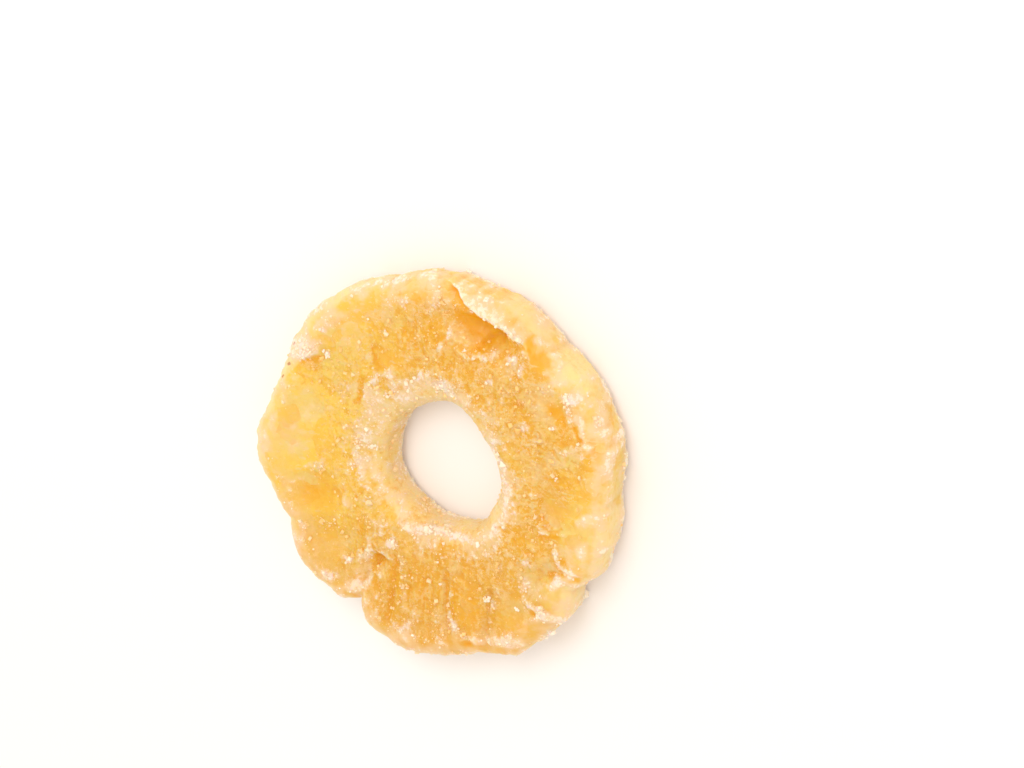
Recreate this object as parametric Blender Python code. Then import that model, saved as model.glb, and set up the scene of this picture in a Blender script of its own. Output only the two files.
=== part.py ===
"""A candied pineapple ring: one lobed slice of fruit with its core cut out, lying flat.

Metres, +Z up. The core hole runs along Z, and the shown face is the upper one. The ring starts
as a torus, and every point of it is moved to its place on the slice: the outline with the
notches between the fruit's eyes, the soft-cornered section, the raised rim, the hollows and
grooves in the upper face, and the underside that has settled flat.
"""

import bpy
import numpy as np

NAME = "pineapple_ring"

# Driving dimensions, in metres.
OUTER_RADIUS = 0.0331
HOLE_RADIUS = 0.0099
THICKNESS = 0.0090

# Where the outline's axis stands, so that the middle of the ring's box is over the origin.
AXIS_PLACE = (0.00126, 0.00053)

# The mesh: steps round the ring and steps round its section.
STEPS_AROUND = 128
STEPS_ACROSS = 28

# The outline. Each swell or notch is (direction in degrees, size, half width in degrees).
OUTER_SWELLS = (
    (15, 0.0006, 7),
    (29, 0.0005, 10),
    (63, 0.0004, 8),
    (127, 0.0002, 12),
    (182, 0.0023, 11),
    (220, 0.0012, 9),
    (257, 0.0015, 14),
    (276, 0.0003, 8),
    (297, 0.0013, 8),
    (312, 0.0004, 8),
)
OUTER_NOTCHES = (
    (358, 0.0007, 9),
    (47, 0.0006, 6),
    (76, 0.0006, 5),
    (104, 0.0010, 6),
    (150, 0.0008, 9),
    (162, 0.0007, 7),
    (206, 0.0014, 7),
    (241, 0.0034, 4),
    (284, 0.0004, 5),
    (326, 0.0020, 5),
)
NOTCH_SHARPNESS = 1.3

# The core hole sits off the middle, opens upwards, and has one corner where the corer tore it.
HOLE_CENTRE = (0.0010, 0.0005)
HOLE_FLARE = 0.0013
HOLE_SWELLS = (
    (305, 0.0014, 20),
    (342, 0.0006, 16),
    (82, 0.0004, 16),
)
HOLE_NOTCHES = (
    (40, 0.0008, 18),
    (118, 0.0003, 18),
    (175, 0.0002, 24),
    (232, 0.0008, 22),
)

# The section: a box with soft corners, softest where the upper face turns down into the hole.
OUTER_CORNER = 4.4
HOLE_UPPER_CORNER = 3.0
HOLE_LOWER_CORNER = 4.0
FACE_SHARE = 0.24

# The upper face. The rim stands above the flesh, most of all over the deep pocket.
FLESH_DIP = 0.0005
RIM_INSET = 0.0030
RIM_HALF_WIDTH = 0.0018
RIM_RISE = 0.0004
HIGH_RIM = (68, 0.0010, 20)
UNDULATION = 0.0004

# Hollows in the upper face: (x, y, depth, half length, half width, heading of the length).
# Here and below, x and y are measured from the outline's axis.
HOLLOWS = (
    (0.0105, 0.0248, 0.0024, 0.0056, 0.0026, -26),
    (-0.0215, -0.0066, 0.0012, 0.0046, 0.0040, 10),
    (-0.0178, -0.0140, 0.0010, 0.0064, 0.0040, -12),
    (0.0226, -0.0028, 0.0008, 0.0036, 0.0034, -60),
    (0.0215, -0.0146, 0.0009, 0.0034, 0.0016, 20),
    (-0.0190, 0.0120, 0.0004, 0.0080, 0.0060, 60),
)

HOLLOW_STEEPNESS = 1.3

# Grooves along the fibres: (x and y of the start, x and y of the end, depth, half width).
GROOVES = (
    (-0.0075, -0.0175, -0.0096, -0.0340, 0.0012, 0.0012),
    (-0.0106, -0.0175, -0.0128, -0.0212, 0.0014, 0.0013),
    (0.0030, -0.0185, 0.0028, -0.0270, 0.0006, 0.0013),
    (0.0112, -0.0205, 0.0100, -0.0300, 0.0007, 0.0012),
    (-0.0095, 0.0140, -0.0125, 0.0205, 0.0006, 0.0012),
    (-0.0014, 0.0180, -0.0030, 0.0245, 0.0005, 0.0012),
)

# The underside sags by this much and then lies flat where it meets the table.
SETTLING = 0.0005

FLESH_COLOUR = (0.93, 0.62, 0.20, 1.0)
FLESH_ROUGHNESS = 0.42


def degrees_from(turn, direction):
    """Degrees from a direction to places round the ring, from -180 to 180."""
    return (np.degrees(turn) - direction + 180.0) % 360.0 - 180.0


def bell(offset, half_width):
    return np.exp(-((offset / half_width) ** 2))


def cleft(offset, half_width):
    """A notch with steep sides that meet in a narrow bottom."""
    return np.exp(-(np.abs(offset / half_width) ** NOTCH_SHARPNESS))


def outer_radius(turn):
    radius = np.full_like(turn, OUTER_RADIUS)
    for direction, size, half_width in OUTER_SWELLS:
        radius += size * bell(degrees_from(turn, direction), half_width)
    for direction, depth, half_width in OUTER_NOTCHES:
        radius -= depth * cleft(degrees_from(turn, direction), half_width)
    return radius


def hole_radius(turn):
    radius = np.full_like(turn, HOLE_RADIUS)
    for direction, size, half_width in HOLE_SWELLS:
        radius += size * bell(degrees_from(turn, direction), half_width)
    for direction, depth, half_width in HOLE_NOTCHES:
        radius -= depth * bell(degrees_from(turn, direction), half_width)
    return radius


def section(station):
    """Places round the soft-cornered section, across it and up it, each from -1 to 1."""
    eased = station + FACE_SHARE * np.sin(2.0 * station)
    across = np.cos(eased)
    up = np.sin(eased)
    hole_corner = np.where(up > 0.0, HOLE_UPPER_CORNER, HOLE_LOWER_CORNER)
    corner = np.where(across > 0.0, OUTER_CORNER, hole_corner)
    reach = (np.abs(across) ** corner + np.abs(up) ** corner) ** (1.0 / corner)
    return across / reach, up / reach


def hollow_depth(x, y):
    """How far the hollows take the upper face down."""
    depth = np.zeros_like(x)
    for middle_x, middle_y, size, half_length, half_width, heading in HOLLOWS:
        along = (np.cos(np.radians(heading)), np.sin(np.radians(heading)))
        ahead = (x - middle_x) * along[0] + (y - middle_y) * along[1]
        aside = (y - middle_y) * along[0] - (x - middle_x) * along[1]
        reach = (ahead / half_length) ** 2 + (aside / half_width) ** 2
        depth += size * np.exp(-(reach**HOLLOW_STEEPNESS))
    return depth


def groove_depth(x, y):
    """How far the grooves take the upper face down."""
    depth = np.zeros_like(x)
    for start_x, start_y, end_x, end_y, size, half_width in GROOVES:
        run = np.array((end_x - start_x, end_y - start_y))
        share = ((x - start_x) * run[0] + (y - start_y) * run[1]) / run.dot(run)
        share = np.clip(share, 0.0, 1.0)
        off = np.hypot(x - start_x - share * run[0], y - start_y - share * run[1])
        depth += size * bell(off, half_width)
    return depth


def upper_height(turn, x, y, inset):
    """The height of the upper face over the table, inset being the way in from the edge."""
    direction, rise, half_width = HIGH_RIM
    rim_rise = RIM_RISE + rise * bell(degrees_from(turn, direction), half_width)
    half_flesh = (OUTER_RADIUS - HOLE_RADIUS) / 2.0
    height = THICKNESS - FLESH_DIP * bell(inset - half_flesh, half_flesh * 0.7)
    height = height + rim_rise * bell(inset - RIM_INSET, RIM_HALF_WIDTH)
    height = height + UNDULATION * np.sin(2.0 * turn + 0.6)
    return height - hollow_depth(x, y) - groove_depth(x, y)


def ring_points(turn, station):
    """Where the points of the ring lie, from their turns about Z and about its section."""
    across, up = section(station)
    share = (1.0 + across) / 2.0
    inner = hole_radius(turn) + HOLE_FLARE * (1.0 + up) / 2.0
    outer = outer_radius(turn)
    inner_x = HOLE_CENTRE[0] + inner * np.cos(turn)
    inner_y = HOLE_CENTRE[1] + inner * np.sin(turn)
    x = inner_x + (outer * np.cos(turn) - inner_x) * share
    y = inner_y + (outer * np.sin(turn) - inner_y) * share
    inset = (outer - inner) * (1.0 - share)
    middle = THICKNESS / 2.0
    over = middle + up * (upper_height(turn, x, y, inset) - middle)
    under = middle + up * (middle + SETTLING)
    height = np.where(up > 0.0, over, np.maximum(under, 0.0))
    return np.stack((x + AXIS_PLACE[0], y + AXIS_PLACE[1], height), axis=1)


def clear_scene():
    for obj in list(bpy.data.objects):
        bpy.data.objects.remove(obj, do_unlink=True)


def flesh_material():
    material = bpy.data.materials.new("candied_flesh")
    material.use_nodes = True
    shader = material.node_tree.nodes["Principled BSDF"]
    shader.inputs["Base Color"].default_value = FLESH_COLOUR
    shader.inputs["Roughness"].default_value = FLESH_ROUGHNESS
    shader.inputs["Metallic"].default_value = 0.0
    return material


def make_ring(collection):
    middle_radius = (OUTER_RADIUS + HOLE_RADIUS) / 2.0
    bpy.ops.mesh.primitive_torus_add(
        major_segments=STEPS_AROUND,
        minor_segments=STEPS_ACROSS,
        major_radius=middle_radius,
        minor_radius=THICKNESS / 2.0,
    )
    ring = bpy.context.object
    ring.name = NAME
    ring.data.name = NAME

    places = np.array([vertex.co[:] for vertex in ring.data.vertices])
    turn = np.arctan2(places[:, 1], places[:, 0])
    outward = np.hypot(places[:, 0], places[:, 1]) - middle_radius
    station = np.arctan2(places[:, 2], outward)
    for vertex, point in zip(ring.data.vertices, ring_points(turn, station)):
        vertex.co = point

    ring.data.shade_smooth()
    ring.data.materials.append(flesh_material())
    for owner in list(ring.users_collection):
        owner.objects.unlink(ring)
    collection.objects.link(ring)
    return ring


def main():
    clear_scene()
    collection = bpy.data.collections.new(NAME)
    bpy.context.scene.collection.children.link(collection)
    make_ring(collection)


main()
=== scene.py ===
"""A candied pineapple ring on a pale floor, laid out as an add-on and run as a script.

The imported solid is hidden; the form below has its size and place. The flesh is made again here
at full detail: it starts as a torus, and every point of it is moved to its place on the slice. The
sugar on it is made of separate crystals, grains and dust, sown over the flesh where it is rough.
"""

import math

import bmesh
import bpy
import numpy as np
from bpy.props import (
    FloatProperty,
    FloatVectorProperty,
    IntProperty,
    PointerProperty,
)
from mathutils import Matrix, Vector, noise


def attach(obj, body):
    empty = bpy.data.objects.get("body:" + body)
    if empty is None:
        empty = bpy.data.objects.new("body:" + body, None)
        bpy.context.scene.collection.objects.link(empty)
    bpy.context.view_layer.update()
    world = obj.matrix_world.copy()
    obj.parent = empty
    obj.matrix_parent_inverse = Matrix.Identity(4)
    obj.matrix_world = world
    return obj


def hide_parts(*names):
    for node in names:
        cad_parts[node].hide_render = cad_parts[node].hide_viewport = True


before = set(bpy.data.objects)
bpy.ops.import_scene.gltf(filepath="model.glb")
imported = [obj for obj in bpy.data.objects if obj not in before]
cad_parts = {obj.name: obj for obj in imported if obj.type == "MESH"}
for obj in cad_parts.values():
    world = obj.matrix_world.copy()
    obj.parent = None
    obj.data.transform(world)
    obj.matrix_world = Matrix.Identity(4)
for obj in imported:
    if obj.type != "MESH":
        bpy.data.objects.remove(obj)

bl_info = {
    "name": "Candied pineapple ring",
    "version": (1, 0, 0),
    "blender": (4, 5, 0),
    "location": "3D View > Sidebar > Fruit",
    "description": "Makes a sugared, dried pineapple ring and a pale stage for it",
    "category": "Object",
}

NODE = "pineapple_ring"
BODY = "root"
MM = 0.001

# ---------------------------------------------------------------- the form, shared with the solid

AXIS_PLACE = (0.00126, 0.00053)

# Each swell or notch is (direction in degrees, size, half width in degrees).
OUTER_SWELLS = (
    (15, 0.0006, 7),
    (29, 0.0005, 10),
    (63, 0.0004, 8),
    (127, 0.0002, 12),
    (182, 0.0023, 11),
    (220, 0.0012, 9),
    (257, 0.0015, 14),
    (276, 0.0003, 8),
    (297, 0.0013, 8),
    (312, 0.0004, 8),
)
OUTER_NOTCHES = (
    (358, 0.0007, 9),
    (47, 0.0006, 6),
    (76, 0.0006, 5),
    (104, 0.0010, 6),
    (150, 0.0008, 9),
    (162, 0.0007, 7),
    (206, 0.0014, 7),
    (241, 0.0034, 4),
    (284, 0.0004, 5),
    (326, 0.0020, 5),
)
NOTCH_SHARPNESS = 1.3

HOLE_CENTRE = (0.0010, 0.0005)
HOLE_FLARE = 0.0013
HOLE_SWELLS = (
    (305, 0.0014, 20),
    (342, 0.0006, 16),
    (82, 0.0004, 16),
)
HOLE_NOTCHES = (
    (40, 0.0008, 18),
    (118, 0.0003, 18),
    (175, 0.0002, 24),
    (232, 0.0008, 22),
)

OUTER_CORNER = 4.4
HOLE_UPPER_CORNER = 3.0
HOLE_LOWER_CORNER = 4.0
FACE_SHARE = 0.24

FLESH_DIP = 0.0005
RIM_INSET = 0.0030
RIM_HALF_WIDTH = 0.0018
RIM_RISE = 0.0004
HIGH_RIM = (68, 0.0010, 20)
UNDULATION = 0.0004

# (x, y, depth, half length, half width, heading of the length), from the outline's axis.
HOLLOWS = (
    (0.0105, 0.0248, 0.0024, 0.0056, 0.0026, -26),
    (-0.0215, -0.0066, 0.0012, 0.0046, 0.0040, 10),
    (-0.0178, -0.0140, 0.0010, 0.0064, 0.0040, -12),
    (0.0226, -0.0028, 0.0008, 0.0036, 0.0034, -60),
    (0.0215, -0.0146, 0.0009, 0.0034, 0.0016, 20),
    (-0.0190, 0.0120, 0.0004, 0.0080, 0.0060, 60),
)
HOLLOW_STEEPNESS = 1.3

# (x and y of the start, x and y of the end, depth, half width), from the outline's axis.
GROOVES = (
    (-0.0075, -0.0175, -0.0096, -0.0340, 0.0004, 0.0014),
    (-0.0106, -0.0175, -0.0128, -0.0212, 0.0008, 0.0016),
    (0.0030, -0.0185, 0.0028, -0.0270, 0.0006, 0.0013),
    (0.0112, -0.0205, 0.0100, -0.0300, 0.0007, 0.0012),
    (-0.0095, 0.0140, -0.0125, 0.0205, 0.0002, 0.0014),
    (-0.0014, 0.0180, -0.0030, 0.0245, 0.0002, 0.0012),
)

SETTLING = 0.0005

# ------------------------------------------------------- fine features of the upper face, in mm

# All from the outline's axis. A ridge is (line, height, half width, frost on it).
RIDGES = (
    (((3.4, -20.6), (3.2, -23.0), (3.6, -26.0), (4.9, -28.6)), 0.34, 0.60, 0.70),
    (((11.6, -20.6), (11.0, -23.4), (11.1, -26.4)), 0.26, 0.55, 0.60),
    (((-6.0, -17.5), (-6.0, -21.0), (-6.6, -26.0)), 0.16, 0.60, 0.40),
    (((-14.2, -17.8), (-12.0, -16.7), (-10.0, -16.4), (-8.2, -17.0)), 0.16, 0.80, 0.60),
    (((23.2, -9.6), (24.6, -12.4), (26.8, -14.2)), 0.40, 0.75, 0.60),
    (((20.8, -16.4), (23.6, -15.0), (26.2, -14.8), (28.6, -15.2)), 0.35, 0.70, 0.35),
    (((17.4, -19.6), (19.4, -20.6), (21.6, -22.4), (24.4, -22.2)), 0.40, 0.65, 0.80),
    (((19.2, 0.3), (19.4, -3.0), (19.6, -5.9), (21.4, -6.8), (24.6, -6.0)), 0.16, 0.50, 0.25),
    (((13.6, -1.2), (16.6, -1.6), (21.0, -0.6), (25.8, 0.4)), 0.08, 0.35, 0.30),
    (((27.0, -4.4), (28.6, -3.4), (31.6, -2.6)), 0.20, 0.70, 0.40),
    (((3.8, 23.2), (4.0, 25.0), (4.6, 26.8)), 0.20, 0.50, 0.60),
    (((4.9, 21.6), (6.4, 21.4), (8.0, 20.5), (9.6, 21.2), (11.4, 21.2), (13.4, 23.2), (15.0, 24.8)), 0.45, 0.60, 0.45),
    (((-4.9, 28.6), (-4.3, 26.4)), 0.10, 0.50, 0.60),
    (((1.4, 20.4), (2.6, 22.6), (4.0, 24.0)), 0.14, 0.45, 0.50),
    (((-25.4, -3.6), (-23.0, -3.0), (-20.0, -2.9)), 0.20, 0.80, 0.45),
    (((-16.6, -7.4), (-16.8, -10.0), (-18.6, -12.6), (-21.8, -13.4)), 0.20, 0.80, 0.40),
    (((-12.0, -12.6), (-12.1, -15.4), (-13.4, -17.8)), 0.20, 0.70, 0.45),
    (((-27.0, 15.4), (-24.6, 16.6), (-22.6, 17.4)), 0.18, 0.80, 0.30),
    (((18.6, 25.8), (22.0, 25.0), (25.0, 24.2), (28.0, 22.4)), 0.30, 0.90, 1.00),
    (((24.2, 7.0), (27.0, 8.4), (31.0, 9.2)), 0.18, 0.60, 0.30),
    (((-6.2, -10.4), (-4.2, -11.2), (0.0, -11.0), (4.4, -11.3), (8.4, -11.8)), 0.38, 0.55, 1.00),
    (((8.4, -11.8), (11.2, -9.4), (13.6, -6.0), (14.0, -2.0), (13.4, 2.5), (11.4, 7.0)), 0.20, 0.70, 0.75),
    (((10.8, 6.2), (13.4, 7.2)), 0.14, 0.40, 0.80),
    (((16.2, 24.6), (17.4, 23.0), (19.2, 21.4)), 0.16, 0.50, 0.45),
    (((14.2, -27.0), (16.2, -27.6), (17.0, -28.8)), 0.26, 0.80, 0.70),
    (((-12.6, 10.0), (-12.2, 12.6), (-10.0, 14.6), (-6.0, 15.8)), 0.22, 0.80, 0.50),
    (((-13.6, 6.0), (-13.4, 3.0), (-13.0, -1.2), (-12.4, -5.0)), 0.12, 0.80, 0.25),
    (((-11.4, 19.2), (-10.8, 16.8), (-9.8, 15.4)), 0.12, 0.50, 0.35),
)

# A scarp is (line, drop, width of the fall, how far the low ground runs): it falls to the right.
SCARPS = (
    (((2.5, 32.6), (5.4, 31.4), (6.9, 29.6), (9.4, 28.0), (12.0, 27.2), (14.0, 26.4), (16.2, 25.0)), 1.2, 0.6, 4.0),
    (((24.6, 15.6), (26.0, 12.6), (27.6, 9.0)), 0.20, 0.8, 2.6),
    (((24.8, -10.4), (26.2, -13.6), (28.6, -15.0)), 0.22, 0.5, 2.0),
    (((28.2, -15.6), (24.6, -15.4), (21.6, -16.6)), 0.3, 0.6, 2.0),
    (((25.0, -6.4), (22.6, -7.4), (20.4, -7.0)), 0.35, 0.5, 2.0),
    (((-10.0, 14.8), (-11.2, 17.0), (-11.6, 20.6)), 0.25, 0.8, 3.0),
    (((23.8, -22.8), (21.2, -22.2), (18.4, -20.6)), 0.3, 0.5, 2.2),
    (((-11.6, -16.8), (-9.6, -17.0), (-8.2, -17.4)), 0.4, 0.7, 2.0),
    (((-26.4, 16.2), (-23.6, 16.6), (-21.0, 17.6)), 0.30, 0.8, 3.0),
)

# A pit is (x, y, depth, half width).
PITS = (
    (22.2, -14.8, 0.5, 0.7),
    (19.6, -22.2, 0.5, 0.7),
    (-10.2, -18.2, 0.6, 1.3),
    (7.0, -30.0, 0.6, 0.8),
    (16.3, 23.6, 0.4, 0.9),
    (10.4, 23.0, 0.3, 1.5),
    (12.8, 24.4, 0.6, 1.2),
    (-14.9, -25.6, 0.6, 1.0),
)

# A furrow is (line, depth, half width, amber in it, partly painted shade).
FURROWS = (
    (((-6.6, -15.4), (-7.0, -19.0), (-7.6, -23.0), (-8.6, -28.6)), 0.30, 0.70, 1.0),
    (((-10.4, -16.8), (-10.8, -20.0), (-10.6, -23.6)), 0.30, 0.70, 1.0),
    (((-4.2, -18.0), (-4.0, -24.0)), 0.12, 0.60, 0.8),
    (((2.6, -19.0), (2.8, -25.0)), 0.12, 0.60, 0.8),
    (((28.2, 9.2), (27.0, 12.2)), 0.35, 0.50, 0.9),
    (((20.0, -7.9), (22.0, -8.1), (24.0, -7.3)), 0.25, 0.55, 0.9),
    (((-1.4, -16.0), (-0.8, -22.0), (-1.6, -29.0)), 0.16, 1.10, 0.3),
    (((-16.2, 5.0), (-22.0, 7.4), (-28.4, 8.4)), 0.22, 1.50, 0.1),
    (((-15.0, -1.0), (-21.0, -0.6), (-27.6, -2.2)), 0.16, 1.40, 0.1),
    (((14.6, 12.6), (18.6, 15.4), (22.4, 17.0)), 0.20, 1.00, 0.2),
    (((8.0, 21.6), (10.0, 23.4), (12.4, 25.0)), 0.30, 0.50, 1.0),
    (((-12.6, 14.2), (-13.2, 11.8), (-14.6, 9.0)), 0.20, 0.70, 0.7),
)

# Where the fibres stand out most, and where the skin is smooth, as patches.
FIBROUS = (
    (0.0, -23.0, 15.0, 9.0, 0, 1.0),
    (-14.0, -17.0, 6.0, 5.0, 0, 0.7),
    (0.0, 23.0, 10.0, 7.0, 0, 0.5),
)
SMOOTH = (
    (-27.0, 2.0, 8.0, 11.0, 0, 1.0),
    (-24.4, 8.4, 3.4, 3.0, 0, 1.0),
    (-16.0, 24.0, 10.0, 5.0, 35, 0.7),
    (-21.6, -8.6, 5.4, 5.4, 0, 1.0),
    (-22.0, -16.0, 6.0, 5.0, 0, 0.8),
    (29.0, -7.0, 6.0, 8.0, 10, 0.9),
    (24.0, -18.4, 5.0, 2.6, 8, 1.0),
    (23.6, -3.2, 3.8, 3.2, 0, 0.9),
    (9.0, 25.2, 5.4, 3.2, -18, 1.0),
    (15.6, -23.4, 3.4, 3.6, 0, 0.7),
    (7.0, -24.0, 2.6, 4.6, 0, 0.7),
    (-8.2, 17.8, 3.0, 2.6, 0, 0.8),
    (23.2, 13.8, 2.4, 1.8, -30, 1.0),
    (17.0, 29.0, 5.0, 2.6, -35, 1.0),
    (26.0, 20.0, 3.4, 3.4, 0, 0.7),
    (4.2, 10.4, 4.2, 1.1, -43, 1.0),
    (8.2, 5.4, 3.6, 1.0, -58, 1.0),
    (10.2, 0.0, 4.0, 1.0, -76, 1.0),
    (11.2, -5.6, 3.0, 1.0, -86, 1.0),
)

# A patch of colour is (x, y, half length, half width, heading, strength).
FROST_PATCHES = (
    (8.4, 30.4, 4.4, 1.3, -12, 0.45),
    (6.2, 30.9, 1.8, 0.7, -8, 1.0),
    (11.0, 30.4, 1.5, 0.9, 0, 0.7),
    (8.2, 28.8, 1.3, 0.7, -40, 0.9),
    (12.6, 27.8, 1.4, 0.6, -35, 0.9),
    (25.6, 24.3, 2.2, 0.9, -38, 1.0),
    (22.6, 25.4, 1.6, 0.7, -40, 0.6),
    (23.4, 22.0, 0.6, 0.6, 0, 0.4),
    (3.0, 14.2, 2.8, 1.4, -20, 0.9),
    (-4.0, 14.8, 3.6, 1.4, 12, 0.6),
    (-10.6, 12.0, 2.2, 2.0, 0, 0.3),
    (-11.4, 2.0, 0.6, 0.8, 0, 0.9),
    (-12.6, -3.6, 0.8, 2.2, 0, 0.45),
    (-12.2, 4.6, 1.0, 4.0, 0, 0.45),
    (-9.4, 7.4, 2.4, 1.5, 45, 0.45),
    (-9.0, 1.0, 1.0, 4.0, 0, 0.40),
    (26.8, 16.6, 1.8, 0.9, 15, 1.0),
    (28.2, 12.8, 0.9, 1.8, 10, 0.9),
    (31.6, 14.0, 1.4, 4.0, 15, 0.6),
    (32.6, 4.4, 0.9, 4.0, 0, 0.4),
    (-24.4, 18.4, 1.9, 1.9, 30, 1.0),
    (-19.8, 17.3, 0.7, 0.9, 0, 1.0),
    (-20.4, 21.4, 0.8, 0.6, 0, 0.9),
    (14.8, -28.0, 2.6, 1.2, 10, 1.0),
    (-5.0, -29.4, 0.9, 1.6, 0, 0.9),
    (9.4, -29.0, 2.4, 0.9, 0, 0.7),
    (18.0, -18.0, 1.5, 2.4, 10, 0.7),
    (17.8, -13.4, 0.8, 0.6, 0, 0.8),
    (28.4, -9.0, 2.0, 1.0, 60, 0.5),
    (-7.2, -14.2, 1.1, 0.7, -20, 1.0),
    (-10.0, 31.0, 2.4, 0.9, 10, 0.8),
    (-25.2, -14.0, 0.9, 1.1, 0, 0.6),
    (-27.0, -17.0, 0.8, 1.4, 0, 0.6),
    (-16.4, -18.6, 1.2, 0.8, 20, 0.9),
    (-15.0, -23.2, 1.8, 1.7, 0, 0.8),
    (-12.4, -21.6, 0.8, 1.6, -10, 0.7),
    (20.4, -18.6, 1.8, 1.2, 20, 0.7),
    (20.6, -22.4, 2.6, 0.9, 20, 0.7),
    (22.8, -14.4, 1.2, 1.0, 20, 0.6),
    (-21.6, 22.0, 1.6, 0.8, 45, 0.6),
    (-17.8, -21.8, 1.4, 1.1, 20, 0.8),
    (26.0, -13.8, 1.6, 1.0, -30, 0.8),
    (22.2, -6.2, 1.4, 0.8, 0, 0.5),
    (33.2, 1.6, 0.9, 2.4, 0, 0.8),
    (-25.6, -5.8, 1.2, 0.6, 30, 0.7),
    (-22.0, 18.6, 1.4, 0.9, 30, 0.8),
    (18.0, -22.0, 1.6, 0.9, 0, 0.6),
    (-19.6, -22.4, 1.6, 1.0, 0, 0.6),
    (-12.3, -5.0, 0.6, 0.6, 0, 0.9),
    (15.6, 21.4, 1.4, 0.8, 0, 0.8),
    (17.4, 20.4, 0.5, 1.4, -15, 0.9),
    (11.2, 17.0, 0.9, 0.6, 0, 0.7),
    (17.8, 10.6, 0.8, 0.8, 0, 0.7),
    (22.8, 11.2, 0.8, 0.5, 0, 0.7),
    (2.0, -12.2, 4.6, 0.9, -4, 0.35),
    (-27.0, 3.2, 1.0, 0.6, 20, 0.6),
    (-24.4, -3.4, 1.1, 0.5, 10, 0.7),
    (4.6, 33.4, 4.0, 1.2, -8, 0.5),
)
AMBER_PATCHES = (
    (9.4, 25.4, 5.0, 2.4, -18, 1.0),
    (12.4, 25.0, 2.4, 1.2, -20, 1.0),
    (9.0, 22.6, 1.6, 0.9, 40, 1.0),
    (2.2, 24.0, 2.0, 2.6, 0, 0.55),
    (-1.0, 29.4, 2.8, 1.6, 0, 0.5),
    (-2.0, 26.0, 2.6, 2.0, 0, 0.5),
    (-2.4, 22.6, 3.4, 3.2, 0, 0.6),
    (30.2, 2.0, 2.0, 2.2, 0, 0.45),
    (21.8, 22.0, 3.0, 2.1, -45, 1.0),
    (15.6, 26.6, 2.6, 1.6, -30, 1.0),
    (18.6, 24.6, 2.4, 1.8, -40, 0.9),
    (-8.2, 17.8, 3.0, 2.6, 0, 0.2),
    (-13.2, 12.0, 1.0, 2.4, 0, 0.8),
    (23.2, 13.8, 2.3, 1.6, -30, 0.9),
    (23.6, -3.2, 3.8, 3.2, 0, 0.5),
    (-10.4, -18.2, 1.9, 1.0, 10, 1.0),
    (-7.2, -21.4, 1.1, 5.6, -6, 1.0),
    (-1.6, -21.6, 1.1, 3.6, -4, 0.9),
    (4.2, -22.6, 1.6, 3.4, 0, 0.9),
    (-13.4, -12.6, 1.4, 1.6, 0, 0.8),
    (0.6, -21.0, 3.4, 5.0, 0, 0.55),
    (3.2, -18.2, 1.0, 1.4, 0, 0.8),
    (7.0, -24.0, 2.2, 4.0, 0, 0.45),
    (17.6, -10.0, 3.0, 2.6, 10, 0.5),
    (-21.0, -7.6, 4.0, 4.0, 0, 0.45),
    (-18.6, -6.4, 1.2, 2.4, 20, 0.5),
    (17.6, 8.6, 4.0, 6.0, 20, 0.3),
    (12.0, 14.0, 3.0, 3.0, 20, 0.25),
    (17.0, 24.8, 1.8, 2.0, -20, 0.8),
    (15.6, 27.0, 0.9, 0.9, -20, 0.5),
    (20.0, 22.6, 2.4, 2.6, -20, 0.6),
    (20.6, 23.2, 5.0, 2.0, -45, 0.55),
    (14.8, 25.8, 3.0, 1.4, -25, 0.8),
    (0.0, 22.6, 4.6, 3.6, 0, 0.5),
    (20.6, 21.6, 2.6, 1.6, -30, 0.5),
    (23.4, 2.2, 3.8, 2.4, 10, 0.6),
)
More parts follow.
